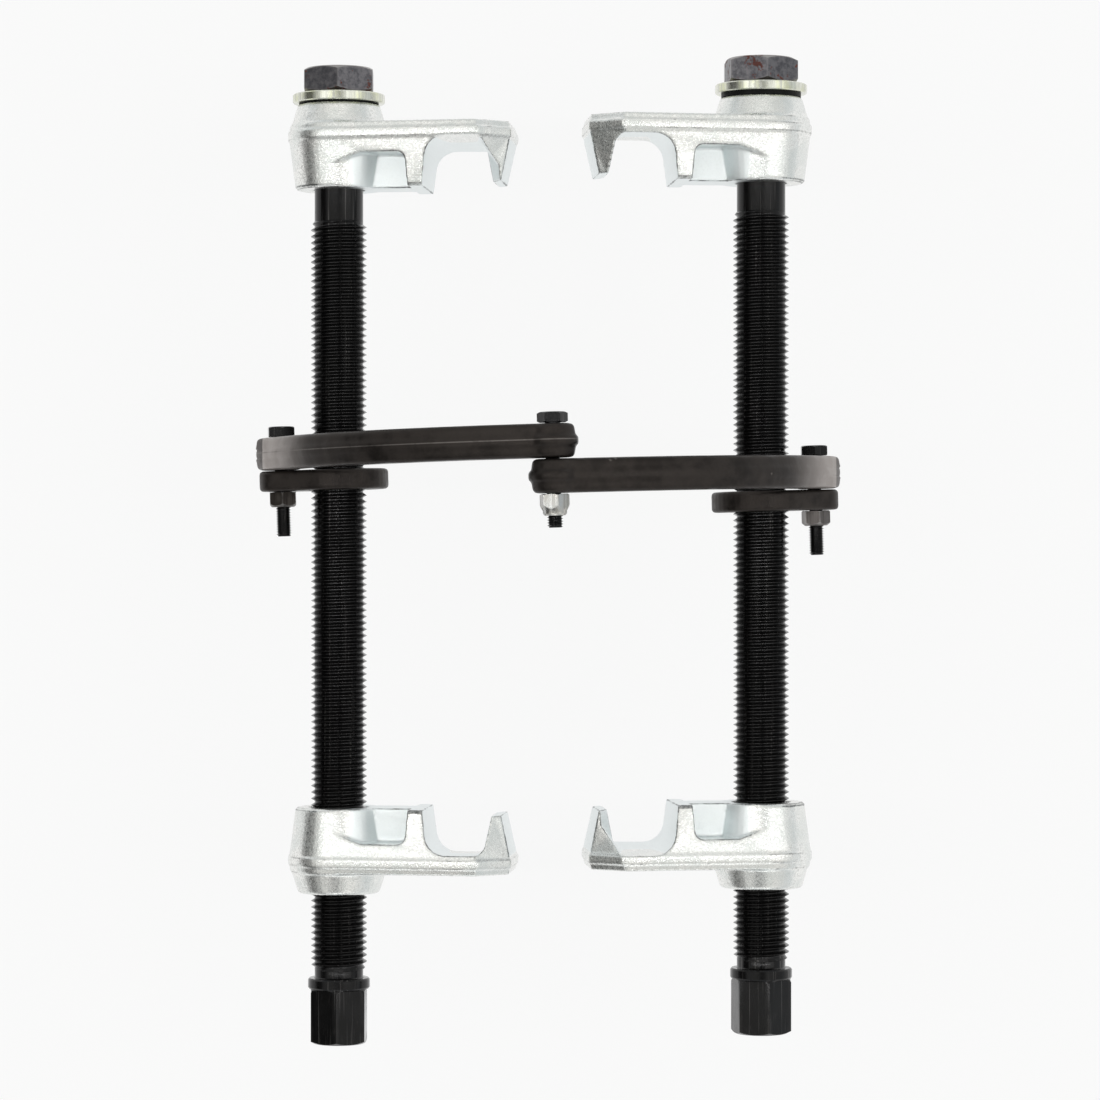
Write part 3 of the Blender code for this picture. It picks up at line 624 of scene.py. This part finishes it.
def mark_jaw(mesh, node, side, level):
    """Marks a jaw's rims, by the distance to its edges, and its hollows: pockets and saddle walls."""
    points = sharp_edge_points(node)
    tree = kdtree.KDTree(len(points))
    for index, point in enumerate(points):
        tree.insert(point, index)
    tree.balance()
    way = 1 if side == "left" else -1
    (_, low, _), (_, high, _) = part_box(node)
    rims, hollows = [], []
    for vertex in mesh.vertices:
        spot, normal = vertex.co, vertex.normal
        out, up = (spot.x + way * SPINDLE_X) * way, spot.z - SPINDLE_HEIGHT
        reach = out * math.cos(JAW_TILT) + up * math.sin(JAW_TILT)
        lift = up * math.cos(JAW_TILT) - out * math.sin(JAW_TILT)
        depth = high - spot.y if level == "upper" else spot.y - low
        radius = BOSS_RADIUS - max(0.0, depth - LAND_FOOT) * SIDE_DRAFT
        skin = (radius + max(0.0, reach) * math.sin(JAW_TILT)) / math.cos(JAW_TILT)
        below = min(1.0, max(0.0, (skin - abs(lift) - POCKET_INSET) / POCKET_FADE))
        in_pocket = depth > POCKET_TOP and 0 < reach < LEG_REACH
        run_out = depth > POCKET_TOP - WEB_LEAD and abs(reach) < WEB_REACH and abs(lift) > WEB_HALF
        share = 0.0 if run_out else 1.0 if depth > HOLLOW_TOP else LAND_LINE_SHARE
        rims.append(share * max(0.0, 1 - tree.find(spot)[2] / RIM_WIDTH))
        on_wall = depth > HOLLOW_TOP and reach >= LEG_REACH and abs(normal.z) < 0.5 and abs(lift) < skin
        hollows.append(below * min(1.0, reach / POCKET_RUN) if in_pocket else float(on_wall))
    for name, values in (("rim", rims), ("hollow", hollows)):
        mesh.attributes.new(name, "FLOAT", "POINT").data.foreach_set("value", values)


FORGED_GRAIN = forged_grain_group()
JAW_ZINC = jaw_zinc()
for seed, (side, level) in enumerate(JAWS):
    node = f"{side}_{level}_jaw"
    body = f"{side}_{'top' if level == 'upper' else 'bottom'}_jaw"
    mesh = forged_copy(node, 0.55 * MM, 0.05 * MM, 11.0 * seed, 3)
    mark_jaw(mesh, node, side, level)
    stand_for(f"{node}_forging", mesh, JAW_ZINC, body, node)


# Washers and top screws
# A thick plated washer turns on a near-black ring on each upper jaw, painted shade filling the gap
# under the washer. Over it is the head of a dark bolt, chamfered at both ends, that has started to rust.

TOP_BOLT_FLATS = 26.5 * MM
TOP_BOLT_SHANK = 5.0 * MM
TOP_HEAD_HEIGHT = 10 * MM
TOP_BOLT_TURN_DEG = {"left": 1.0, "right": 7.2}
WASHER_RADIUS = 18.0 * MM
WASHER_BORE = 5.2 * MM
WASHER_EDGE = [(0.9 * MM, 0), (0.4 * MM, 0), (0, 0.4 * MM), (0, 0.9 * MM)]
SHADE_RING_RADIUS = 15.6 * MM
SHADE_RING_BORE = 9.6 * MM
SHADE_RING_GAP = 0.02 * MM
BOLT_DARK = (0.082, 0.081, 0.090)
BOLT_GREY = (0.165, 0.160, 0.170)
BOLT_AXIAL_PALE = (0.24, 0.225, 0.215)
BOLT_EDGE = (0.30, 0.29, 0.285)
RUST_TONES = [(0.35, (0.050, 0.015, 0.011)), (0.7, (0.125, 0.036, 0.027))]
PLATED_EDGE = (0.9, 0.9, 0.88)
WASHER_GREY = (0.72, 0.73, 0.65)
WASHER_YELLOW = (0.64, 0.66, 0.42)
SHADE_RING_DARK = (0.0025, 0.0030, 0.0030)
SHADE_RING_PATCH = (0.0060, 0.0062, 0.0058)


def rusty_bolt():
    """Dark bolt steel, paler on its end faces and chamfers, which face along its axis, with red-brown spots
    of rust in patches.
    """
    material, tree, shader, place = start_material("rusty_bolt_steel")
    edges = use(tree, EDGE_AND_FOLD_MASKS, {"Vector": place, "Low": 0.53, "High": 0.62})
    mottle = grit(tree, place, 420.0, 5.0, 0.7)
    spots = grit(tree, place, 430.0, 4.0, 0.72)
    summed = maths(tree, "ADD", times(tree, grit(tree, place, 120.0), 0.9), spots)
    rust = span(tree, summed, 1.07, 1.11)
    body = blend(tree, span(tree, mottle, 0.35, 0.65), BOLT_DARK, BOLT_GREY)
    # Faces that look along the axis, the end faces and chamfers, are made paler.
    facing = split(tree, put(tree, "ShaderNodeTexCoord").outputs["Normal"])["Y"]
    ends = span(tree, maths(tree, "ABSOLUTE", facing), 0.55, 0.75, 0.0, 0.8)
    axial_pale = blend(tree, ends, body, BOLT_AXIAL_PALE)
    worn = blend(tree, times(tree, edges["Edge"], 0.6), axial_pale, BOLT_EDGE)
    colour = blend(tree, rust, worn, ramp(tree, spots, RUST_TONES))
    metal = span(tree, rust, 0, 1, 0.85, 0.1)
    rough = span(tree, rust, 0, 1, 0.36, 0.75)
    normal = bump(tree, mottle, 0.3, 0.1 * MM)
    feed(tree, shader, Base_Color=colour, Roughness=rough, Metallic=metal, Normal=normal)
    return material


def plated(name, colour, tint, rough):
    """Plain plated steel, tinted in clouds by its plating, with fine drawn lines."""
    material, tree, shader, place = start_material(name)
    edges = use(tree, EDGE_AND_FOLD_MASKS, {"Vector": place, "Low": 0.54, "High": 0.64})
    drawn = grit(tree, drawn_out(tree, place, 0.05), 900.0, 3.0)
    tinted = blend(tree, span(tree, grit(tree, place, 160.0, 3.0), 0.40, 0.66, 0.0, 0.7), colour, tint)
    lined = blend(tree, span(tree, drawn, 0.4, 0.7), tinted, tuple(0.72 * part for part in colour))
    worn = blend(tree, times(tree, edges["Edge"], 0.5), lined, PLATED_EDGE)
    spread = span(tree, drawn, 0.3, 0.7, rough, rough + 0.12)
    normal = bump(tree, drawn, 0.1, 0.1 * MM)
    feed(tree, shader, Base_Color=worn, Roughness=spread, Metallic=0.95, Normal=normal)
    return material


def gap_shade_black():
    """Near-black and dull, with a few slightly paler patches: painted shade for the gap under the washer.
    """
    material, tree, shader, place = start_material("gap_shade_black")
    smear = grit(tree, place, 320.0, 4.0)
    colour = blend(tree, smear, SHADE_RING_DARK, SHADE_RING_PATCH)
    rough = span(tree, smear, 0.35, 0.65, 0.42, 0.62)
    feed(tree, shader, Base_Color=colour, Roughness=rough, Specular_IOR_Level=0.15)
    return material


def hexagon_rings(flats, low, high, low_rim, high_rim, low_slope=HEX_CHAMFER):
    """A hexagon with round chamfers at both ends, their rims in shares of its half width."""
    inset = 0.04 * flats
    low_rim, high_rim = low_rim * flats / 2, high_rim * flats / 2

    def reach(angle):
        return hexagon_reach(flats, angle)

    def low_arc(angle):
        return low + (reach(angle) - low_rim) * low_slope

    def high_arc(angle):
        return high - (reach(angle) - high_rim) * HEX_CHAMFER

    return [
        (low_rim - inset, low),
        (low_rim, low),
        (reach, low_arc),
        (reach, lambda angle: low_arc(angle) + inset),
        (reach, lambda angle: (low_arc(angle) + high_arc(angle)) / 2),
        (reach, lambda angle: high_arc(angle) - inset),
        (reach, high_arc),
        (high_rim, high),
        (high_rim - inset, high),
    ]


def top_bolt_mesh(side):
    (_, low, _), (_, high, _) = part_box(f"{side}_top_bolt")
    seat = high - TOP_HEAD_HEIGHT
    shank = [(TOP_BOLT_SHANK - 0.6 * MM, low), (TOP_BOLT_SHANK, low + 0.6 * MM), (TOP_BOLT_SHANK, seat)]
    head = hexagon_rings(TOP_BOLT_FLATS, seat, high, low_rim=0.94, high_rim=0.95)
    shape = bmesh.new()
    spun(shape, shank + head, steps=96, turn_deg=TOP_BOLT_TURN_DEG[side])
    return finish_spun(shape, f"{side}_rusty_top_bolt", on_spindle(side), sharp_deg=26)


def washer_mesh(side):
    (_, low, _), (_, high, _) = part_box(f"{side}_washer")
    lower = [(WASHER_RADIUS - away, low + up) for away, up in WASHER_EDGE]
    upper = [(WASHER_RADIUS - away, high - down) for away, down in reversed(WASHER_EDGE)]
    shape = bmesh.new()
    spun(shape, [(WASHER_BORE, low), *lower, *upper, (WASHER_BORE, high)], steps=120)
    return finish_spun(shape, f"{side}_plated_washer", on_spindle(side), sharp_deg=35)


def shade_ring_mesh(side):
    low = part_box(f"{side}_upper_jaw")[1][1] + SHADE_RING_GAP
    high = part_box(f"{side}_washer")[0][1] - SHADE_RING_GAP
    bottom = [(SHADE_RING_BORE, low), (SHADE_RING_RADIUS, low)]
    top = [(SHADE_RING_RADIUS, high), (SHADE_RING_BORE, high)]
    shape = bmesh.new()
    spun(shape, [*bottom, *top, bottom[0]], steps=96, closed=False)
    return finish_spun(shape, f"{side}_shade_ring", on_spindle(side), sharp_deg=35)


RUSTY_BOLT = rusty_bolt()
WASHER_ZINC = plated("washer_zinc", WASHER_GREY, WASHER_YELLOW, 0.18)
GAP_SHADE_BLACK = gap_shade_black()
for side in ("left", "right"):
    mesh = washer_mesh(side)
    rider = f"{side}_thrust_washer"
    stand_for(f"{side}_plated_washer", mesh, WASHER_ZINC, rider, f"{side}_washer")
    mesh = top_bolt_mesh(side)
    name = f"{side}_rusty_top_bolt"
    stand_for(name, mesh, RUSTY_BOLT, f"{side}_screw", f"{side}_top_bolt")
    # Painted shade: a near-black ring fills the gap between the upper jaw and the washer.
    mesh = shade_ring_mesh(side)
    mesh.materials.append(GAP_SHADE_BLACK)
    shade_ring_piece = bpy.data.objects.new(f"{side}_shade_ring", mesh)
    scene.collection.objects.link(shade_ring_piece)
    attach(shade_ring_piece, f"{side}_thrust_washer")


# Link
# Two forged arms cross over the spindles and fold on a bolt in the middle. A ring on each spindle
# carries its arm on a bolt that stands beside it.

JOINTS = {entry["name"]: entry for entry in frame["joints"]}
PIVOT_AXIS = Vector(JOINTS["middle_pivot"]["axis"]).normalized()
PIVOT_PLACE = Vector(JOINTS["middle_pivot"]["pos_m"])
ARM_OFFSET = 6.55 * MM
LINK = [("left", "link_left", 1), ("right", "link_right", -1)]
END_REACH = 0.5 * MM
END_FILL = 1.1 * MM
END_HOLE = 4.5 * MM
END_RUN = 3.0 * MM
PARTING_HALF = 1.5 * MM
PARTING_RUN = 0.8 * MM
PARTING_SHIFT = 0.4 * MM
FORGED_DARK = (0.0185, 0.0150, 0.0132)
FORGED_PALE = (0.036, 0.030, 0.0265)
FORGED_EDGE = (0.20, 0.18, 0.165)
FORGED_LINE = (0.17, 0.155, 0.145)
END_RUBBED = (0.40, 0.365, 0.345)
END_SHADE = (0.05, 0.042, 0.038)


def forged_black(name, grain_size, light, line=None, ends=False):
    """Black forged skin, brownish, rubbed lighter on its edges, outer ends and parting line, with painted
    shade over the tip of each outer end.
    """
    material, tree, shader, place = start_material(name)
    grain = use(tree, FORGED_GRAIN, {"Vector": place, "Size": grain_size})
    edges = use(tree, EDGE_AND_FOLD_MASKS, {"Vector": place, "Low": 0.54, "High": 0.66})
    dark, pale = (tuple(light * part for part in tone) for tone in (FORGED_DARK, FORGED_PALE))
    colour = blend(tree, grain["Broad"], dark, pale)
    colour = blend(tree, times(tree, edges["Edge"], 0.45), colour, FORGED_EDGE)
    if ends:
        away = maths(tree, "ABSOLUTE", split(tree, place)["X"])
        colour = blend(tree, span(tree, away, 90.0 * MM, 112.5 * MM, 0.0, 0.85), colour, END_RUBBED)
        # Painted shade: beyond 112.2 mm from the middle, the tip of the outer end is darkened.
        colour = blend(tree, span(tree, away, 111.9 * MM, 112.2 * MM, 0.0, 0.9), colour, END_SHADE)
    if line is not None:
        along = dot(tree, place, tuple(PIVOT_AXIS))
        off_line = maths(tree, "ABSOLUTE", maths(tree, "SUBTRACT", along, line))
        fading = span(tree, grain["Broad"], 0, 1, 0.25, 0.75)
        drawn = times(tree, span(tree, off_line, 0.32 * MM, 0.12 * MM), fading)
        colour = blend(tree, drawn, colour, FORGED_LINE)
    rough = span(tree, grain["Broad"], 0, 1, 0.36, 0.52)
    normal = bump(tree, grain["Height"], 0.16, 0.15 * MM)
    feed(tree, shader, Base_Color=colour, Roughness=rough, Metallic=0.75, Normal=normal)
    return material


def fill_outer_end(mesh, joint, middle):
    """Brings an arm's outer end out flush with its parting line, as the real ones are ground there."""
    lug = Vector(JOINTS[joint]["pos_m"])
    way = math.copysign(1, lug.x)
    for vertex in mesh.vertices:
        along = PIVOT_AXIS.dot(vertex.co)
        away = vertex.co - lug - PIVOT_AXIS * (along - PIVOT_AXIS.dot(lug))
        reach = away.length
        if reach < END_HOLE or away.x * way <= 0:
            continue
        outward = min(1.0, away.x * way / reach / 0.5)
        beside = min(1.0, max(0.0, (abs(along - middle) - PARTING_HALF) / PARTING_RUN))
        full = min(1.0, (reach - END_HOLE) / END_RUN)
        vertex.co += away / reach * outward * full * (END_REACH + END_FILL * beside)
    mesh.update()


RING_BLACK = forged_black("ring_black", 1.2, 1.15)
for seed, (side, body, way) in enumerate(LINK):
    middle = PIVOT_AXIS.dot(PIVOT_PLACE) + way * ARM_OFFSET
    line = middle + PARTING_SHIFT if side == "left" else None
    arm_black = forged_black(f"{side}_arm_black", 0.9, 1.0, line, ends=True)
    mesh = forged_copy(f"{side}_link_arm", 0.50 * MM, 0.03 * MM, 3.0 + seed, 22)
    fill_outer_end(mesh, f"{side}_lug_pivot", middle)
    stand_for(f"{side}_forged_arm", mesh, arm_black, body, f"{side}_link_arm")
    mesh = forged_copy(f"{side}_link_ring", 0.50 * MM, 0.03 * MM, 7.0 + seed, 3)
    stand_for(f"{side}_forged_ring", mesh, RING_BLACK, f"{side}_ring", f"{side}_link_ring")


# Link bolts and nuts
# Three M6 bolts with black hexagon heads, threaded to their ends. Plain nuts hold two of them, and a
# lock nut with a round collar and a ring of nylon in it holds the one in the middle.

LINK_FLATS = 10.0 * MM
LINK_HEAD_HEIGHT = 4.0 * MM
LINK_SHANK = 2.9 * MM
LINK_PLAIN_LENGTH = 12.5 * MM
LINK_THREAD = {
    "pitch": 1.0 * MM,
    "crest": 3.0 * MM * CREST_SHARE,
    "root": 2.39 * MM,
    "run_out": 0.8 * MM,
    "steps": 24,
}
LINK_BOLTS = [
    ("left_lug_bolt", "left_lug_pivot", "left_ring"),
    ("right_lug_bolt", "right_lug_pivot", "right_ring"),
    ("pivot_bolt", "middle_pivot", "link_left"),
]
NUT_TOE = math.tan(math.radians(40))
LUG_NUT_TURN_DEG = {"left": 1.5, "right": 12.6}
LOCK_NUT_TURN_DEG = 13.5
LOCK_TOE = math.tan(math.radians(62))
LOCK_COLLAR_RADIUS = 4.5 * MM
LOCK_COLLAR_HEIGHT = 1.7 * MM
LOCK_BORE = 3.72 * MM
LEFT_NUT = ("dark_nut_steel", (0.052, 0.045, 0.040), (0.090, 0.081, 0.073), 0.28)
RIGHT_NUT = ("grey_nut_steel", (0.118, 0.107, 0.102), (0.155, 0.146, 0.141), 0.28)
LOCK_NUT = ("lock_nut_zinc", (0.50, 0.485, 0.45), (0.48, 0.50, 0.51), 0.20)
NYLON_GREY = (0.72, 0.76, 0.80)
NYLON_WHITE = (0.85, 0.88, 0.90)
NYLON_DEPTH = (0.001, 0.001, 0.001)


def clear_nylon():
    """Clouded nylon that lets a little light in."""
    material, tree, shader, place = start_material("clear_nylon")
    colour = blend(tree, grit(tree, place, 500.0), NYLON_GREY, NYLON_WHITE)
    feed(tree, shader, Base_Color=colour, Roughness=0.45)
    feed(tree, shader, Subsurface_Weight=0.2, Subsurface_Radius=NYLON_DEPTH)
    return material


def dress(node, material):
    """A CAD node keeps its shape and takes a better material."""
    piece = nodes[node]
    piece.data.materials.clear()
    piece.data.materials.append(material)


def on_joint(node, joint):
    """A joint's axis as a stand, with a CAD node's two ends along it and its farthest corner."""
    axis = Vector(JOINTS[joint]["axis"]).normalized()
    if axis.y < 0:
        axis.negate()
    across = Vector((axis.y, -axis.x, 0))
    stand = Matrix((across, axis, (0, 0, 1))).transposed().to_4x4()
    stand.translation = Vector(JOINTS[joint]["pos_m"])
    back = stand.inverted() @ nodes[node].matrix_world
    points = [back @ vertex.co for vertex in nodes[node].data.vertices]
    corner = max(points, key=lambda point: point.x**2 + point.z**2)
    return stand, min(point.y for point in points), max(point.y for point in points), corner


def link_bolt_mesh(node, joint):
    """A threaded bolt on its CAD bolt's own axis, with its head's corners where they were."""
    stand, low, high, corner = on_joint(node, joint)
    seat = high - LINK_HEAD_HEIGHT
    thread_top = seat - LINK_PLAIN_LENGTH
    core = LINK_THREAD["root"] - 0.05 * MM
    shank = [(core - 0.5 * MM, low + 0.05 * MM), (core, low + 0.5 * MM), (core, thread_top - 0.5 * MM)]
    neck = [(LINK_SHANK, thread_top), (LINK_SHANK, seat)]
    head = hexagon_rings(LINK_FLATS, seat, high, low_rim=0.97, high_rim=0.94)
    shape = bmesh.new()
    spun(shape, shank + neck + head, steps=72, turn_deg=math.degrees(math.atan2(corner.x, corner.z)))
    add_thread(shape, LINK_THREAD, low, thread_top, core)
    return finish_spun(shape, f"threaded_{node}", stand, sharp_deg=26)


def lug_nut_mesh(side):
    stand, low, high, _ = on_joint(f"{side}_lug_nut", f"{side}_lug_pivot")
    rings = hexagon_rings(LINK_FLATS, low, high, low_rim=0.87, high_rim=1.06, low_slope=NUT_TOE)
    shape = bmesh.new()
    spun(shape, rings, steps=72, turn_deg=LUG_NUT_TURN_DEG[side])
    return finish_spun(shape, f"{side}_chamfered_nut", stand, sharp_deg=26)


def lock_nut_mesh():
    stand, low, high, _ = on_joint("pivot_lock_nut", "middle_pivot")
    collar = [
        (LOCK_BORE, low + 2.0 * MM),
        (LOCK_BORE, low),
        (LOCK_COLLAR_RADIUS - 0.5 * MM, low),
        (LOCK_COLLAR_RADIUS, low + 0.7 * MM),
    ]
    shoulder = low + LOCK_COLLAR_HEIGHT
    rings = hexagon_rings(LINK_FLATS, shoulder, high, low_rim=0.91, high_rim=0.99, low_slope=LOCK_TOE)[1:]
    shape = bmesh.new()
    spun(shape, collar + rings, steps=72, turn_deg=LOCK_NUT_TURN_DEG)
    return finish_spun(shape, "collared_lock_nut", stand, sharp_deg=26)


for node, joint, body in LINK_BOLTS:
    stand_for(f"threaded_{node}", link_bolt_mesh(node, joint), BLACK_OXIDE, body, node)
for side, finish in (("left", LEFT_NUT), ("right", RIGHT_NUT)):
    name = f"{side}_chamfered_nut"
    stand_for(name, lug_nut_mesh(side), plated(*finish), f"{side}_ring", f"{side}_lug_nut")
lock_nut = lock_nut_mesh()
stand_for("collared_lock_nut", lock_nut, plated(*LOCK_NUT), "link_left", "pivot_lock_nut")
dress("lock_nut_insert", clear_nylon())
